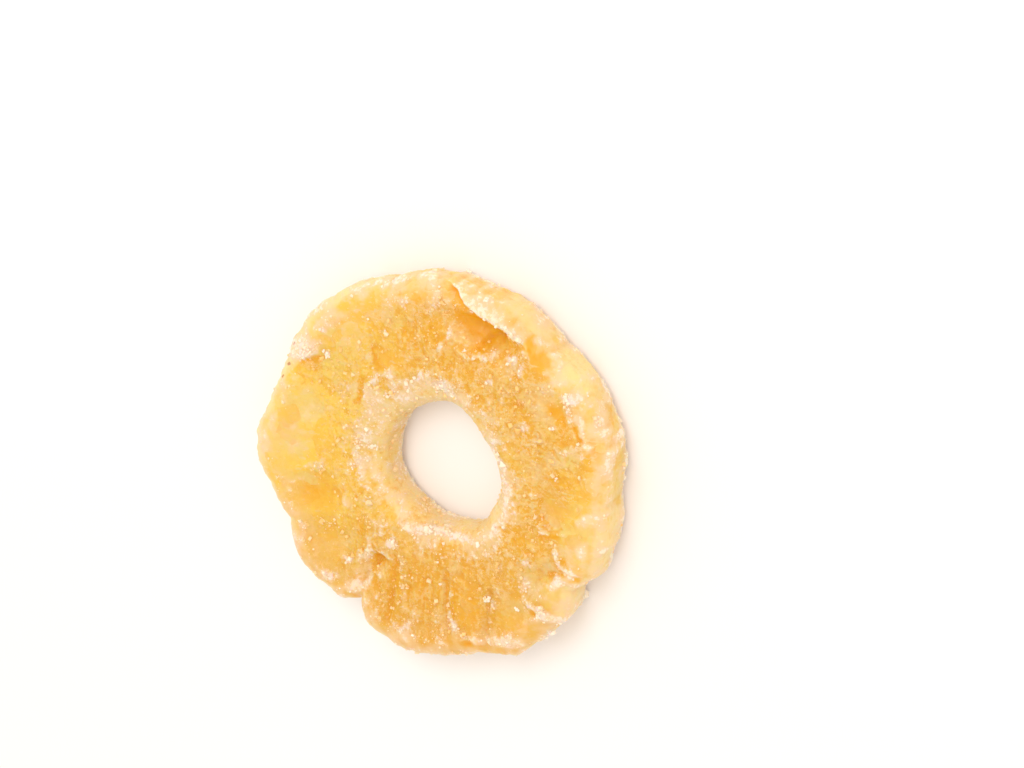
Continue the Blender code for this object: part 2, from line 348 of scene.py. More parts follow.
PALE_PATCHES = (
    (-29.0, 1.0, 6.0, 12.0, 0, 0.8),
    (-26.4, -10.0, 3.6, 9.0, 10, 1.0),
    (-21.0, -20.0, 5.0, 3.0, -30, 0.6),
    (-16.0, -21.6, 3.0, 2.0, 0, 0.8),
    (19.0, -22.4, 3.0, 2.0, 0, 0.9),
    (-19.4, 23.6, 6.0, 3.6, 45, 0.8),
    (-11.0, 28.0, 4.0, 2.6, 20, 0.6),
    (-24.2, 8.6, 3.4, 3.0, 0, 0.7),
    (29.0, -8.0, 4.6, 6.0, 15, 1.0),
    (32.4, -1.0, 1.8, 7.0, 0, 0.9),
    (24.0, -18.4, 4.4, 2.6, 8, 0.9),
    (19.0, -17.0, 3.0, 4.0, 0, 0.7),
    (21.0, -24.0, 3.0, 2.6, 40, 0.9),
    (16.0, -23.6, 3.6, 3.6, 0, 0.45),
    (22.0, -12.4, 3.0, 2.0, 20, 0.5),
    (16.6, -1.6, 2.8, 4.4, 0, 0.55),
    (17.6, 29.4, 5.0, 2.2, -35, 0.6),
    (27.0, 20.0, 3.0, 3.8, 0, 0.9),
    (30.4, 13.0, 2.6, 5.0, 10, 0.9),
    (12.0, -28.6, 5.0, 1.6, 0, 0.7),
    (-10.0, -31.0, 5.0, 1.6, 0, 0.5),
    (2.0, -12.4, 6.0, 1.8, -5, 0.4),
    (3.0, 33.2, 6.0, 1.2, -4, 0.6),
    (-14.4, -23.0, 2.8, 4.0, 0, 1.0),
    (-22.0, 21.4, 3.4, 2.2, 45, 1.0),
    (-27.4, -6.0, 3.0, 3.4, 0, 1.0),
    (19.8, -18.0, 3.4, 2.6, 0, 1.0),
    (22.2, -14.0, 2.8, 2.2, 20, 1.0),
    (-28.0, 8.0, 3.4, 4.4, 0, 1.0),
    (-18.0, -22.0, 2.6, 2.4, 0, 1.0),
    (-26.0, 5.6, 3.0, 2.0, 10, 1.0),
    (4.2, 10.4, 4.2, 1.0, -43, 1.0),
    (8.2, 5.4, 3.6, 0.9, -58, 1.0),
    (10.2, 0.0, 4.0, 0.9, -76, 1.0),
    (11.2, -5.6, 3.0, 0.9, -86, 1.0),
    (-25.0, -6.0, 3.4, 2.4, 20, 1.0),
    (-22.4, 18.0, 2.6, 2.6, 0, 1.0),
    (-10.0, 18.0, 2.4, 2.4, 0, 0.7),
    (-4.0, 14.4, 5.0, 1.8, 0, 0.9),
    (-10.0, 10.0, 2.4, 2.4, 0, 0.9),
    (26.0, 6.4, 2.4, 2.4, 0, 0.9),
    (24.0, -6.4, 4.0, 1.8, 0, 1.0),
    (17.0, -22.0, 5.0, 2.0, -5, 1.0),
    (27.6, 10.4, 2.6, 2.2, 0, 0.9),
    (-10.6, -1.0, 2.4, 8.0, 0, 0.8),
    (-9.0, -18.0, 0.7, 3.6, -6, 0.9),
    (-12.6, -20.6, 0.8, 3.6, 0, 1.0),
)

# Duller flesh, besides the painted shade of the lower side.
DULL_PATCHES = ((16.4, 27.4, 6.0, 2.8, -38, 1.0),)

# Lemon flesh, besides the left side.
LEMON_PATCHES = (
    (24.0, -18.4, 6.0, 4.0, 8, 1.0),
    (29.0, -7.0, 5.0, 8.0, 10, 0.9),
    (16.6, -24.0, 4.0, 4.0, 0, 0.8),
    (26.6, 3.6, 4.0, 4.0, 0, 0.6),
    (17.0, 29.0, 5.0, 3.0, -35, 0.8),
    (26.0, 20.0, 4.0, 4.0, 0, 1.0),
    (18.6, 28.6, 4.0, 2.4, -40, 1.0),
    (17.4, 24.6, 2.4, 2.4, 0, 0.8),
    (-6.0, 26.0, 5.0, 5.0, 0, 0.5),
    (12.0, 5.0, 4.0, 6.0, 30, 0.5),
    (-6.0, 0.0, 5.0, 9.0, 0, 0.6),
)

# A cluster of crystals that stands out is (x, y, size).
CLUSTER = 6
CRYSTALS = (
    (-15.0, -1.3, 0.55),
    (-14.9, -2.3, 0.50),
    (10.3, -21.4, 0.95),
    (8.5, -11.9, 0.90),
    (16.1, -21.8, 0.75),
    (-11.5, 2.1, 1.00),
    (-11.0, 1.5, 0.70),
    (-20.3, 17.4, 0.90),
    (-19.8, 16.6, 0.60),
    (-20.6, 21.4, 0.60),
    (15.8, 21.7, 0.80),
    (14.6, 20.6, 0.60),
    (6.8, 21.7, 0.60),
    (14.3, -3.2, 0.60),
    (10.9, 16.9, 0.60),
    (23.2, 11.1, 0.70),
    (23.6, 2.6, 0.60),
    (1.7, -20.2, 0.55),
    (-7.4, -14.1, 0.70),
    (9.6, 33.0, 0.70),
    (10.4, 30.6, 0.80),
    (7.6, 28.4, 0.60),
)

# A fleck of peel is (x, y, half length, half width, heading, strength).
FLECKS = (
    (-27.4, 14.4, 0.60, 0.28, 20, 1.0),
    (-28.6, 12.1, 0.35, 0.22, 60, 0.9),
    (-26.0, 18.0, 0.45, 0.20, 70, 0.6),
    (-30.9, -1.1, 0.30, 0.20, 30, 0.35),
)


# ------------------------------------------------------------------------------------- settings


class FleshSettings(bpy.types.PropertyGroup):
    outer_radius: FloatProperty(
        name="Outer radius",
        description="From the outline's axis to the edge, between swells and notches",
        default=0.0331,
        unit="LENGTH",
    )
    hole_radius: FloatProperty(
        name="Hole radius",
        description="Radius of the core hole at the underside",
        default=0.0099,
        unit="LENGTH",
    )
    thickness: FloatProperty(
        name="Thickness",
        description="Height of the slice, without its rim",
        default=0.0090,
        unit="LENGTH",
    )
    steps_around: IntProperty(
        name="Steps around", description="Mesh steps round the ring", default=640
    )
    steps_across: IntProperty(
        name="Steps across", description="Mesh steps round the section", default=152
    )
    golden: FloatVectorProperty(
        name="Golden",
        description="The flesh between the rim and the core",
        default=(0.830, 0.430, 0.034),
        subtype="COLOR",
    )
    # Amber: partly the flesh's own colour, partly painted shade in hollows, grooves and pits.
    amber: FloatVectorProperty(
        name="Amber",
        description="The flesh in hollows and grooves",
        default=(0.85, 0.41, 0.007),
        subtype="COLOR",
    )
    deep: FloatVectorProperty(
        name="Deep",
        description="The clearest parts of the golden flesh",
        default=(0.800, 0.368, 0.016),
        subtype="COLOR",
    )
    # Darker golden for painted shade: the lower side of the face, which gets less light; also used for the duller
    # patches.
    lower_shade_and_dull: FloatVectorProperty(
        name="Toasted",
        description="The drier flesh of the lower side",
        default=(0.77, 0.39, 0.045),
        subtype="COLOR",
    )
    peel: FloatVectorProperty(
        name="Peel",
        description="Small flecks of peel",
        default=(0.50, 0.17, 0.035),
        subtype="COLOR",
    )
    # Yellow for the left side: partly the flesh's own colour, partly painted light where light comes through that
    # side.
    yellow: FloatVectorProperty(
        name="Yellow",
        description="The smooth flesh on the wide lobe's side",
        default=(0.90, 0.595, 0.075),
        subtype="COLOR",
    )
    light: FloatVectorProperty(
        name="Light",
        description="Crystals in the golden flesh",
        default=(0.89, 0.585, 0.195),
        subtype="COLOR",
    )
    lemon: FloatVectorProperty(
        name="Lemon",
        description="The waxy lobes at the edge",
        default=(0.83, 0.60, 0.17),
        subtype="COLOR",
    )
    cream: FloatVectorProperty(
        name="Cream",
        description="The clouded flesh of the edge",
        default=(0.84, 0.60, 0.28),
        subtype="COLOR",
    )
    # Pale lemon for painted light: the glow of light through the thin outer edge, mostly on the left, and on the slope
    # into the hole; also random milky mottles.
    milky_glow: FloatVectorProperty(
        name="Milky",
        description="The thin pale edge",
        default=(0.91, 0.71, 0.34),
        subtype="COLOR",
    )
    frost: FloatVectorProperty(
        name="Frost",
        description="The sugar bloom on rims and ridges",
        default=(0.88, 0.63, 0.37),
        subtype="COLOR",
    )
    white: FloatVectorProperty(
        name="White",
        description="The thickest bloom",
        default=(0.97, 0.79, 0.64),
        subtype="COLOR",
    )


class SugarSettings(bpy.types.PropertyGroup):
    seed: IntProperty(name="Seed", description="Where the sugar falls", default=11)
    crystals: IntProperty(name="Crystals", description="How many crystals", default=360)
    crystal_size: FloatProperty(
        name="Crystal size", description="Of a crystal", default=0.00033, unit="LENGTH"
    )
    grains: IntProperty(name="Grains", description="How many grains", default=4200)
    grain_size: FloatProperty(
        name="Grain size", description="Of a grain", default=0.00024, unit="LENGTH"
    )
    specks: IntProperty(name="Dust", description="How many specks of dust", default=11000)
    speck_size: FloatProperty(
        name="Dust size", description="Of a speck of dust", default=0.00014, unit="LENGTH"
    )
    white: FloatVectorProperty(
        name="White",
        description="Clean sugar",
        default=(1.0, 0.88, 0.70),
        subtype="COLOR",
    )
    syrup: FloatVectorProperty(
        name="Syrup",
        description="Sugar that has taken up syrup",
        default=(1.0, 0.63, 0.21),
        subtype="COLOR",
    )


class StageSettings(bpy.types.PropertyGroup):
    floor_size: FloatProperty(
        name="Floor size", description="Side of the floor", default=6.0, unit="LENGTH"
    )
    floor_colour: FloatVectorProperty(
        name="Floor colour", description="Pale floor", default=(0.97, 0.93, 0.90), subtype="COLOR"
    )
    sky: FloatProperty(name="Sky", description="Brightness of the room", default=0.96)
    key_power: FloatProperty(
        name="Key light", description="Power of the large light", default=1.9, unit="POWER"
    )
    lens: FloatProperty(
        name="Lens", description="Focal length", default=85.0, unit="CAMERA"
    )


class RingSettings(bpy.types.PropertyGroup):
    flesh: PointerProperty(type=FleshSettings)
    sugar: PointerProperty(type=SugarSettings)
    stage: PointerProperty(type=StageSettings)


# ----------------------------------------------------------------------------------- the shader


class Value:
    """A number on a socket, for sums with Python's own operators."""

    def __init__(self, board, socket):
        self.board = board
        self.socket = socket

    def _sum(self, operation, *values):
        settings = {"operation": operation}
        return self.board.number("ShaderNodeMath", settings, dict(enumerate(values)))

    def __add__(self, other):
        return self._sum("ADD", self, other)

    def __radd__(self, other):
        return self._sum("ADD", other, self)

    def __sub__(self, other):
        return self._sum("SUBTRACT", self, other)

    def __rsub__(self, other):
        return self._sum("SUBTRACT", other, self)

    def __mul__(self, other):
        return self._sum("MULTIPLY", self, other)

    def __rmul__(self, other):
        return self._sum("MULTIPLY", other, self)

    def __truediv__(self, other):
        return self._sum("DIVIDE", self, other)

    def __abs__(self):
        return self._sum("ABSOLUTE", self)

    def __pow__(self, other):
        return self._sum("POWER", self, other)

    def step(self, low, high):
        """0 below low and 1 above high, with a soft step between."""
        settings = {"interpolation_type": "SMOOTHSTEP"}
        sockets = {"Value": self, "From Min": low, "From Max": high}
        return self.board.number("ShaderNodeMapRange", settings, sockets, "Result")


class Board:
    """A material's node tree, and the ways to add to it."""

    def __init__(self, name):
        self.material = bpy.data.materials.new(name)
        self.material.use_nodes = True
        self.tree = self.material.node_tree
        self.shader = self.tree.nodes["Principled BSDF"]

    def node(self, kind, settings, sockets):
        """Adds a node, makes its settings, then gives its sockets their values or links."""
        made = self.tree.nodes.new(kind)
        for name, value in settings.items():
            setattr(made, name, value)
        self.fill(made, sockets)
        return made

    def fill(self, node, sockets):
        for name, value in sockets.items():
            if isinstance(value, Value):
                self.tree.links.new(value.socket, node.inputs[name])
            elif isinstance(value, bpy.types.NodeSocket):
                self.tree.links.new(value, node.inputs[name])
            else:
                node.inputs[name].default_value = value

    def number(self, kind, settings, sockets, output=0):
        return Value(self, self.node(kind, settings, sockets).outputs[output])

    def attribute(self, name):
        return self.number("ShaderNodeAttribute", {"attribute_name": name}, {}, "Fac")

    def place(self):
        return self.node("ShaderNodeTexCoord", {}, {}).outputs["Object"]

    def noise(self, vector, scale, detail=2.0, roughness=0.5):
        sockets = {"Vector": vector, "Scale": scale, "Detail": detail, "Roughness": roughness}
        return self.number("ShaderNodeTexNoise", {}, sockets, "Fac")

    def cells(self, vector, scale):
        """A number for each cell of a pattern of rough crystals."""
        sockets = {"Vector": vector, "Scale": scale}
        colour = self.node("ShaderNodeTexVoronoi", {}, sockets).outputs["Color"]
        return self.number("ShaderNodeSeparateColor", {}, {"Color": colour}, "Red")

    def warped(self, vector, scale, reach):
        """Places moved about by noise, by up to half of reach."""
        shift = self.node("ShaderNodeTexNoise", {}, {"Vector": vector, "Scale": scale})
        sockets = {0: shift.outputs["Color"], 1: (reach, reach, reach), 2: vector}
        return self.node("ShaderNodeVectorMath", {"operation": "MULTIPLY_ADD"}, sockets).outputs[0]

    def stretched(self, vector, factors):
        sockets = {0: vector, 1: factors}
        return self.node("ShaderNodeVectorMath", {"operation": "MULTIPLY"}, sockets).outputs[0]

    def mix(self, share, first, second):
        """A colour between two, by a share from 0 to 1."""
        settings = {"data_type": "RGBA", "clamp_factor": True}
        sockets = {0: share, 6: colour_of(first), 7: colour_of(second)}
        return self.node("ShaderNodeMix", settings, sockets).outputs[2]

    def bump(self, height, distance, strength=1.0, normal=None):
        sockets = {"Height": height, "Distance": distance, "Strength": strength}
        if normal is not None:
            sockets["Normal"] = normal
        return self.node("ShaderNodeBump", {}, sockets).outputs["Normal"]


def colour_of(value):
    if isinstance(value, bpy.types.NodeSocket):
        return value
    return (*value, 1.0)


# ------------------------------------------------------------------------------------- the form


def degrees_from(turn, direction):
    """Degrees from a direction to places round the ring, from -180 to 180."""
    return (np.degrees(turn) - direction + 180.0) % 360.0 - 180.0


def bell(offset, half_width):
    return np.exp(-((offset / half_width) ** 2))


def cleft(offset, half_width):
    """A notch with steep sides that meet in a narrow bottom."""
    return np.exp(-(np.abs(offset / half_width) ** NOTCH_SHARPNESS))


def step(value, low, high):
    """0 below low and 1 above high, with a soft step between."""
    share = np.clip((value - low) / (high - low), 0.0, 1.0)
    return share * share * (3.0 - 2.0 * share)


def outer_radius(turn, sizes):
    radius = np.full_like(turn, sizes.outer_radius)
    for direction, size, half_width in OUTER_SWELLS:
        radius += size * bell(degrees_from(turn, direction), half_width)
    for direction, depth, half_width in OUTER_NOTCHES:
        radius -= depth * cleft(degrees_from(turn, direction), half_width)
    return radius


def hole_radius(turn, sizes):
    radius = np.full_like(turn, sizes.hole_radius)
    for direction, size, half_width in HOLE_SWELLS:
        radius += size * bell(degrees_from(turn, direction), half_width)
    for direction, depth, half_width in HOLE_NOTCHES:
        radius -= depth * bell(degrees_from(turn, direction), half_width)
    return radius


def section(station):
    """Places round the soft-cornered section, across it and up it, each from -1 to 1."""
    eased = station + FACE_SHARE * np.sin(2.0 * station)
    across = np.cos(eased)
    up = np.sin(eased)
    hole_corner = np.where(up > 0.0, HOLE_UPPER_CORNER, HOLE_LOWER_CORNER)
    corner = np.where(across > 0.0, OUTER_CORNER, hole_corner)
    reach = (np.abs(across) ** corner + np.abs(up) ** corner) ** (1.0 / corner)
    return across / reach, up / reach


def hollow_depth(x, y):
    """How far the hollows take the upper face down."""
    depth = np.zeros_like(x)
    for middle_x, middle_y, size, half_length, half_width, heading in HOLLOWS:
        along = (np.cos(np.radians(heading)), np.sin(np.radians(heading)))
        ahead = (x - middle_x) * along[0] + (y - middle_y) * along[1]
        aside = (y - middle_y) * along[0] - (x - middle_x) * along[1]
        reach = (ahead / half_length) ** 2 + (aside / half_width) ** 2
        depth += size * np.exp(-(reach**HOLLOW_STEEPNESS))
    return depth


def groove_depth(x, y):
    """How far the grooves take the upper face down."""
    depth = np.zeros_like(x)
    for start_x, start_y, end_x, end_y, size, half_width in GROOVES:
        run = np.array((end_x - start_x, end_y - start_y))
        share = ((x - start_x) * run[0] + (y - start_y) * run[1]) / run.dot(run)
        share = np.clip(share, 0.0, 1.0)
        off = np.hypot(x - start_x - share * run[0], y - start_y - share * run[1])
        depth += size * bell(off, half_width)
    return depth


def upper_height(turn, x, y, inset, sizes):
    """The height of the upper face over the table, inset being the way in from the edge."""
    direction, rise, half_width = HIGH_RIM
    rim_rise = RIM_RISE + rise * bell(degrees_from(turn, direction), half_width)
    half_flesh = (sizes.outer_radius - sizes.hole_radius) / 2.0
    height = sizes.thickness - FLESH_DIP * bell(inset - half_flesh, half_flesh * 0.7)
    height = height + rim_rise * bell(inset - RIM_INSET, RIM_HALF_WIDTH)
    height = height + UNDULATION * np.sin(2.0 * turn + 0.6)
    return height - hollow_depth(x, y) - groove_depth(x, y)



def from_line(x, y, line):
    """Distances from a bent line: how far off each place is, to its right or not, how far along."""
    off = np.full_like(x, 1.0)
    right = np.ones_like(x)
    along = np.zeros_like(x)
    lengths = [math.dist(start, end) * MM for start, end in zip(line, line[1:])]
    passed = 0.0
    for (start, end), length in zip(zip(line, line[1:]), lengths):
        run_x = (end[0] - start[0]) * MM
        run_y = (end[1] - start[1]) * MM
        from_x = x - start[0] * MM
        from_y = y - start[1] * MM
        share = np.clip((from_x * run_x + from_y * run_y) / length**2, 0.0, 1.0)
        here = np.hypot(from_x - share * run_x, from_y - share * run_y)
        nearer = here < off
        off = np.where(nearer, here, off)
        right = np.where(nearer, np.sign(run_y * from_x - run_x * from_y), right)
        along = np.where(nearer, passed + share * length, along)
        passed += length
    ends = step(along, 0.0, 0.16 * passed) * step(passed - along, 0.0, 0.16 * passed)
    return off, right, 0.35 + 0.65 * ends


def patches(x, y, table):
    """How strongly a table's patches cover each place, 0 to 1."""
    cover = np.zeros_like(x)
    for middle_x, middle_y, half_length, half_width, heading, strength in table:
        along = (math.cos(math.radians(heading)), math.sin(math.radians(heading)))
        off_x = x / MM - middle_x
        off_y = y / MM - middle_y
        ahead = (off_x * along[0] + off_y * along[1]) / half_length
        aside = (off_y * along[0] - off_x * along[1]) / half_width
        cover = np.maximum(cover, strength * np.exp(-((ahead**2 + aside**2) ** 1.2)))
    return cover


def fine_features(x, y):
    """The ridges, scarps, pits and furrows: how much they raise the face, their frost, amber."""
    rise = np.zeros_like(x)
    frost = np.zeros_like(x)
    amber = np.zeros_like(x)
    for line, height, half_width, bloom in RIDGES:
        off, _, ends = from_line(x, y, line)
        rise += height * MM * ends * bell(off, half_width * MM)
        frost = np.maximum(frost, bloom * ends * bell(off, half_width * MM * 1.5))
    for line, drop, fall, run in SCARPS:
        off, right, ends = from_line(x, y, line)
        ahead = off * right
        low = step(ahead, -0.5 * fall * MM, fall * MM) * np.exp(-((off / (run * MM)) ** 2))
        high = step(-ahead, -0.5 * fall * MM, 0.5 * fall * MM) * bell(off, 1.2 * MM)
        rise += (0.25 * high - low) * drop * MM * ends
        # Painted shade: amber on the low ground under the scarp's fall.
        amber = np.maximum(amber, low * ends * 0.5)
        frost = np.maximum(frost, 0.4 * high * ends)
    for middle_x, middle_y, depth, half_width in PITS:
        off = np.hypot(x - middle_x * MM, y - middle_y * MM)
        dip = bell(off, half_width * MM)
        rise -= depth * MM * dip
        # Amber in the pit: partly the flesh's own amber, partly painted shade.
        amber = np.maximum(amber, dip)
    for line, depth, half_width, stain_and_shade in FURROWS:
        off, _, ends = from_line(x, y, line)
        dip = ends * bell(off, half_width * MM)
        rise -= depth * MM * dip
        # Amber in the furrow: partly the flesh's own amber, partly painted shade.
        amber = np.maximum(amber, stain_and_shade * dip)
    return rise, frost, amber


def noise_at(points, size, seed):
    """Smooth noise, about -1 to 1, with features of the given size."""
    shift = Vector((seed * 17.3, seed * 5.1, seed * 9.7))
    scaled = points / size
    return np.array([noise.noise(Vector(point) + shift) for point in scaled])


def ring_points(turn, station, sizes):
    """The points of the ring about the outline's axis, and how far across and up each is."""
    across, up = section(station)
    share = (1.0 + across) / 2.0
    inner = hole_radius(turn, sizes) + HOLE_FLARE * (1.0 + up) / 2.0
    outer = outer_radius(turn, sizes)
    inner_x = HOLE_CENTRE[0] + inner * np.cos(turn)
    inner_y = HOLE_CENTRE[1] + inner * np.sin(turn)
    x = inner_x + (outer * np.cos(turn) - inner_x) * share
    y = inner_y + (outer * np.sin(turn) - inner_y) * share
    inset = (outer - inner) * (1.0 - share)
    middle = sizes.thickness / 2.0
    over = middle + up * (upper_height(turn, x, y, inset, sizes) - middle)
    under = middle + up * (middle + SETTLING)
    height = np.where(up > 0.0, over, np.maximum(under, 0.0))
    return np.stack((x, y, height), axis=1), across, up, inset, outer - inner - inset


# ------------------------------------------------------------------------------------ the piece


def new_piece(name, mesh, material):
    piece = bpy.data.objects.new(name, mesh)
    bpy.context.scene.collection.objects.link(piece)
    mesh.materials.clear()
    mesh.materials.append(material)
    return piece


def store(mesh, name, values):
    layer = mesh.attributes.new(name, "FLOAT", "POINT")
    layer.data.foreach_set("value", np.asarray(values, np.float32))


def read(mesh, name, kind=np.float32):
    values = np.empty(len(mesh.vertices), kind)
    mesh.attributes[name].data.foreach_get("value", values)
    return values


def vertex_places(mesh):
    places = np.empty(len(mesh.vertices) * 3, np.float32)
    mesh.vertices.foreach_get("co", places)
    return places.reshape(-1, 3).astype(float)


def vertex_normals(mesh):
    normals = np.empty(len(mesh.vertices) * 3, np.float32)
    mesh.vertices.foreach_get("normal", normals)
    return normals.reshape(-1, 3).astype(float)


def set_places(mesh, places):
    mesh.vertices.foreach_set("co", places.astype(np.float32).ravel())
    mesh.update()


def smoothed(mesh, values, rounds):
    """Values of the vertices, each evened with its neighbours so many times."""
    ends = np.empty(len(mesh.edges) * 2, np.int32)
    mesh.edges.foreach_get("vertices", ends)
    ends = ends.reshape(-1, 2)
    count = len(mesh.vertices)
    neighbours = np.bincount(ends.ravel(), minlength=count)
    columns = np.atleast_2d(values.T)
    for _ in range(rounds):
        columns = np.stack(
            [
                (
                    np.bincount(ends[:, 0], weights=column[ends[:, 1]], minlength=count)
                    + np.bincount(ends[:, 1], weights=column[ends[:, 0]], minlength=count)
                )
                / neighbours
                for column in columns
            ]
        )
    return columns.T if values.ndim > 1 else columns[0]


def put_in_order(bm, number):
    """Sorts a mesh's elements by the number of their middle, so that each run has one order."""
    bm.verts.sort(key=lambda vert: number(vert.co))
    bm.edges.sort(key=lambda edge: number((edge.verts[0].co + edge.verts[1].co) / 2.0))
    bm.faces.sort(key=lambda face: number(face.calc_center_median()))


def blank_ring(sizes):
    """A torus of quads, as a circle spun round Z."""
    middle_radius = (sizes.outer_radius + sizes.hole_radius) / 2.0
    upright = Matrix.Rotation(math.pi / 2.0, 4, "X")
    bm = bmesh.new()
    bmesh.ops.create_circle(
        bm,
        cap_ends=False,
        segments=sizes.steps_across,
        radius=sizes.thickness / 2.0,
        matrix=Matrix.Translation((middle_radius, 0.0, 0.0)) @ upright,
    )
    bmesh.ops.spin(
        bm,
        geom=bm.verts[:] + bm.edges[:],
        cent=(0.0, 0.0, 0.0),
        axis=(0.0, 0.0, 1.0),
        angle=2.0 * math.pi,
        steps=sizes.steps_around,
        use_merge=True,
    )
    bmesh.ops.recalc_face_normals(bm, faces=bm.faces[:])
    half_steps_around = 2 * sizes.steps_around
    half_steps_across = 2 * sizes.steps_across

    def number(point):
        turn = math.atan2(point.y, point.x) / (2.0 * math.pi)
        bend = math.atan2(point.z, point.xy.length - middle_radius) / (2.0 * math.pi)
        around = round(turn * half_steps_around) % half_steps_around
        return around * half_steps_across + round(bend * half_steps_across) % half_steps_across

    put_in_order(bm, number)
    mesh = bpy.data.meshes.new("flesh")
    bm.to_mesh(mesh)
    bm.free()
    return mesh, middle_radius


TOP_SHARE = 0.42


class PINEAPPLE_OT_flesh(bpy.types.Operator):
    """Makes the flesh of the ring."""

    bl_idname = "pineapple.flesh"
    bl_label = "Flesh"

    def execute(self, context):
        sizes = context.scene.pineapple_ring.flesh
        mesh, middle_radius = blank_ring(sizes)
        places = vertex_places(mesh)
        turn = np.arctan2(places[:, 1], places[:, 0])
        outward = np.hypot(places[:, 0], places[:, 1]) - middle_radius
        angle = np.arctan2(places[:, 2], outward)
        station = angle + TOP_SHARE * np.cos(angle)
        points, across, up, inset, core_inset = ring_points(turn, station, sizes)
        x, y = points[:, 0].copy(), points[:, 1].copy()
        on_top = step(up, 0.2, 0.85)
        on_base = step(-up, 0.6, 0.95)
        on_wall = step(across, 0.80, 0.99)
        warp = 0.55 * noise_at(points, 2.6 * MM, 21) + 0.22 * noise_at(points, 0.9 * MM, 22)
        weft = 0.55 * noise_at(points, 2.6 * MM, 23) + 0.22 * noise_at(points, 0.9 * MM, 24)
        bent_x = x + warp * MM
        bent_y = y + weft * MM
        rise, ridge_frost, furrow_amber = fine_features(bent_x, bent_y)

        # Fibres run out from the core, so their noise is drawn out along the radius.
        ray = np.stack((np.cos(turn) * 0.030, np.sin(turn) * 0.030, np.hypot(x, y) * 0.16), axis=1)
        fibres = noise_at(ray, 0.75 * MM, 4)
        broad_fibres = noise_at(ray, 2.4 * MM, 6)
        fibrous = 0.35 + 0.65 * patches(x, y, FIBROUS)
        lumps = noise_at(points, 3.6 * MM, 1)
        knobs = noise_at(points, 1.5 * MM, 2)
        grit = noise_at(points, 0.55 * MM, 3)
        folds = 1.0 - np.abs(noise_at(points + np.stack((warp, weft, warp), axis=1) * MM, 1.9 * MM, 9)) * 3.2
        creases = 1.0 - np.abs(noise_at(points, 0.95 * MM, 10)) * 3.0
        wrinkles = np.maximum(np.clip(folds, 0.0, 1.0), 0.7 * np.clip(creases, 0.0, 1.0))
        wax = (1.0 - step(inset + 1.2 * MM * lumps, 2.2 * MM, 4.6 * MM)) * (1.0 - step(core_inset, 5.0 * MM, 3.0 * MM))
        wax = np.maximum(wax, on_wall)
        wax = np.maximum(wax, 0.35 * (1.0 - step(core_inset, 2.4 * MM, 4.4 * MM)))
        smooth = np.maximum(patches(x, y, SMOOTH), (0.85 - 0.5 * on_wall) * wax)
        skin_share = 0.6 * smooth
        rough = 1.0 - 0.8 * smooth

        points[:, 2] += on_top * (rise + (0.10 * fibres + 0.12 * broad_fibres) * fibrous * MM)
        flutes = np.stack((np.cos(turn) * 0.033, np.sin(turn) * 0.033, points[:, 2] * 0.2), axis=1)
        outward_lumps = 0.45 * noise_at(flutes, 3.4 * MM, 7) + 0.26 * noise_at(flutes, 1.2 * MM, 8)
        reach = on_wall * outward_lumps * MM
        points[:, 0] += np.cos(turn) * reach
        points[:, 1] += np.sin(turn) * reach
        set_places(mesh, points)
        normals = vertex_normals(mesh)
        swell = noise_at(points, 6.5 * MM, 12)
        relief = swell * 0.22 + lumps * (0.18 + 0.10 * on_wall) + knobs * 0.07 + (knobs * 0.08 + grit * 0.08 + wrinkles * 0.13) * rough
        points += normals * (relief * MM * (1.0 - 0.7 * on_base))[:, None]
        hidden = np.maximum(0.0, 0.10 + 0.5 * lumps + 0.25 * broad_fibres + 0.12 * knobs)
        points[:, 2] += on_base * hidden * MM
        points[:, 2] = np.maximum(points[:, 2], 0.0)
        set_places(mesh, points + np.array((*AXIS_PLACE, 0.0)))

        broad = smoothed(mesh, points, 30)
        fine = smoothed(mesh, points, 4)
        normals = vertex_normals(mesh)
        hollow = ((broad - points) * normals).sum(axis=1) / MM
        crevice = ((fine - points) * normals).sum(axis=1) / MM

        core = 1.0 - step(core_inset + 1.0 * MM * knobs + 1.2 * MM * lumps, 3.0 * MM, 5.6 * MM)
        rim = 1.0 - step(inset + 0.8 * MM * lumps, 1.0 * MM, 3.6 * MM)
        wall = np.maximum(on_wall, 1.0 - step(up, -0.2, 0.7))
        hole_wall = step(-across, 0.8, 1.0) * (1.0 - step(up, 0.3, 0.8))
        border = bell(core_inset + 0.8 * MM * (knobs + lumps) - 4.4 * MM, 0.8 * MM) * on_top
        frost = 0.24 * core * on_top + 0.12 * border + rim * (0.10 + 0.3 * lumps)
        frost = np.maximum(frost, on_top * ridge_frost)
        frost = np.maximum(frost, on_top * patches(bent_x + 1.5 * weft * MM, bent_y, FROST_PATCHES))
        frost = np.maximum(frost, wall * (0.28 + 0.45 * lumps))
        frost = frost + 0.16 * lumps + 0.14 * knobs
        # Painted shade: less frost in hollows and creases, so they stay darker.
        frost = frost - 0.8 * hollow - 1.6 * crevice
        amber = on_top * np.maximum(furrow_amber, patches(bent_x, bent_y, AMBER_PATCHES))
        frost = frost - 0.35 * amber
        # Amber patches and features: partly stains in the flesh, partly painted shade.
        stain_and_shade_cover = amber
        # Painted shade: more amber in hollows and creases. The hole wall gets less amber, as painted light.
        amber = amber + 0.5 * hollow + 1.2 * crevice + 0.10 * lumps - 0.8 * hole_wall
